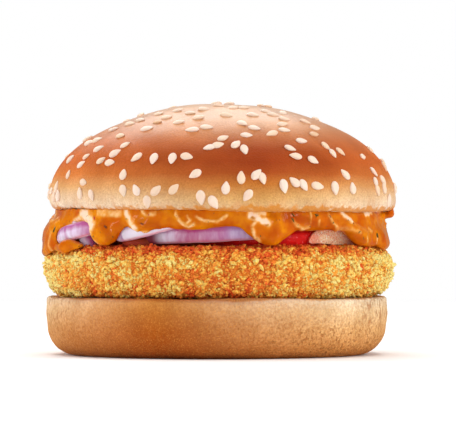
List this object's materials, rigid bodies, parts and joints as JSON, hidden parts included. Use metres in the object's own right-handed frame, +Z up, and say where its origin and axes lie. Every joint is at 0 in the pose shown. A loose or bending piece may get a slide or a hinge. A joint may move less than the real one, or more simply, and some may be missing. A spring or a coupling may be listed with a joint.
{
  "type": "aloo tikki burger",
  "caption": "Round sesame bun filled with a thick crumbed potato patty, tomato slices, red onion and a glossy orange sauce that hangs in drips from under the crown.",
  "frame": {"origin": "middle of the flat face that the heel of the bun rests on", "axes": "+Z up through the bun, -Y towards the side shown as the front, +X to the right of that side"},
  "size_m": [0.1022, 0.1015, 0.0724],
  "materials": {
    "bun_crust": "baked bread crust with a soft sheen, red-brown on top and pale at the rim",
    "bun_side": "matt bread with fine pores, tan at the top and golden brown below",
    "fried_crumb": "coarse fried breadcrumb, golden yellow to orange",
    "tomato": "wet ripe tomato",
    "onion": "moist raw red onion, white flesh and violet skin",
    "sauce": "thick glossy orange sauce with herb flecks"
  },
  "bodies": {
    "root": {"heel": "bun_side", "patty": "fried_crumb", "crown": "bun_crust", "tomato_front": "tomato", "tomato_back": "tomato", "tomato_end": "tomato", "onion_front": "onion", "onion_front_left": "onion", "onion_left": "onion", "onion_left_under": "onion", "onion_right": "onion", "onion_back": "onion", "onion_back_left": "onion", "sauce": "sauce"}
  },
  "joints": []
}
